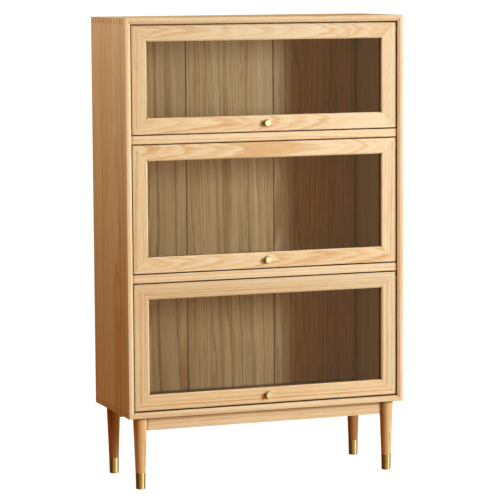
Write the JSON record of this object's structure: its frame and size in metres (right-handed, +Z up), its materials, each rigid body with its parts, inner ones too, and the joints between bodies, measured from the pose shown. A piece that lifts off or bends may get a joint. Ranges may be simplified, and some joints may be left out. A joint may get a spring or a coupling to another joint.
{
  "type": "barrister bookcase",
  "caption": "Oak bookcase on turned legs with brass ferrules; stacked glazed doors lift on pivots and slide back over dovetailed, shelved bays.",
  "frame": {"origin": "on the floor, under the middle of the overall box, which reaches from the knobs at the front to the back boards", "axes": "+Z up, the doors face -Y, +X to the right of someone facing the doors"},
  "size_m": [0.9, 0.349, 1.424],
  "materials": {
    "oak_carcase": "satin oil",
    "oak_back": "satin oil",
    "oak_door": "satin oil",
    "oak_leg": "satin oil",
    "glass": "polished, clear",
    "ferrule_brass": "brushed",
    "knob_brass": "satin",
    "insert_brass": "machined",
    "steel": "zinc plated",
    "runner_aluminium": "anodised",
    "shoe_nylon": "moulded, self-lubricating"
  },
  "bodies": {
    "root": {"left_side_panel": "oak_carcase", "right_side_panel": "oak_carcase", "top_panel": "oak_carcase", "bottom_panel": "oak_carcase", "upper_shelf": "oak_carcase", "lower_shelf": "oak_carcase", "back_board_left": "oak_back", "back_board_centre": "oak_back", "back_board_right": "oak_back", "back_screws": "steel", "front_apron": "oak_leg", "back_apron": "oak_leg", "left_front_leg": "oak_leg", "right_front_leg": "oak_leg", "left_back_leg": "oak_leg", "right_back_leg": "oak_leg", "left_front_ferrule": "ferrule_brass", "right_front_ferrule": "ferrule_brass", "left_back_ferrule": "ferrule_brass", "right_back_ferrule": "ferrule_brass", "leg_hanger_bolts": "steel", "leg_inserts": "insert_brass", "lower_left_runner": "runner_aluminium", "lower_right_runner": "runner_aluminium", "middle_left_runner": "runner_aluminium", "middle_right_runner": "runner_aluminium", "upper_left_runner": "runner_aluminium", "upper_right_runner": "runner_aluminium", "runner_screws": "steel"},
    "lower_shoes": {"lower_shoes": "shoe_nylon"},
    "lower_door": {"lower_door_top_rail": "oak_door", "lower_door_bottom_rail": "oak_door", "lower_door_left_stile": "oak_door", "lower_door_right_stile": "oak_door", "lower_door_glass": "glass", "lower_door_beads": "oak_door", "lower_door_knob": "knob_brass", "lower_door_knob_screw": "steel", "lower_door_pivot_pins": "steel"},
    "middle_shoes": {"middle_shoes": "shoe_nylon"},
    "middle_door": {"middle_door_top_rail": "oak_door", "middle_door_bottom_rail": "oak_door", "middle_door_left_stile": "oak_door", "middle_door_right_stile": "oak_door", "middle_door_glass": "glass", "middle_door_beads": "oak_door", "middle_door_knob": "knob_brass", "middle_door_knob_screw": "steel", "middle_door_pivot_pins": "steel"},
    "upper_shoes": {"upper_shoes": "shoe_nylon"},
    "upper_door": {"upper_door_top_rail": "oak_door", "upper_door_bottom_rail": "oak_door", "upper_door_left_stile": "oak_door", "upper_door_right_stile": "oak_door", "upper_door_glass": "glass", "upper_door_beads": "oak_door", "upper_door_knob": "knob_brass", "upper_door_knob_screw": "steel", "upper_door_pivot_pins": "steel"}
  },
  "joints": [
    {"name": "lower_door_slide", "type": "slide", "parent": "root", "child": "lower_shoes", "axis": [0, 1, 0], "range_m": [0, 0.285]},
    {"name": "lower_door_lift", "type": "hinge", "parent": "lower_shoes", "child": "lower_door", "pos_m": [0, -0.1495, 0.6054], "axis": [-1, 0, 0], "range_deg": [0, 90]},
    {"name": "middle_door_slide", "type": "slide", "parent": "root", "child": "middle_shoes", "axis": [0, 1, 0], "range_m": [0, 0.285]},
    {"name": "middle_door_lift", "type": "hinge", "parent": "middle_shoes", "child": "middle_door", "pos_m": [0, -0.1495, 1.0234], "axis": [-1, 0, 0], "range_deg": [0, 90]},
    {"name": "upper_door_slide", "type": "slide", "parent": "root", "child": "upper_shoes", "axis": [0, 1, 0], "range_m": [0, 0.25]},
    {"name": "upper_door_lift", "type": "hinge", "parent": "upper_shoes", "child": "upper_door", "pos_m": [0, -0.1495, 1.3804], "axis": [-1, 0, 0], "range_deg": [0, 90]}
  ]
}
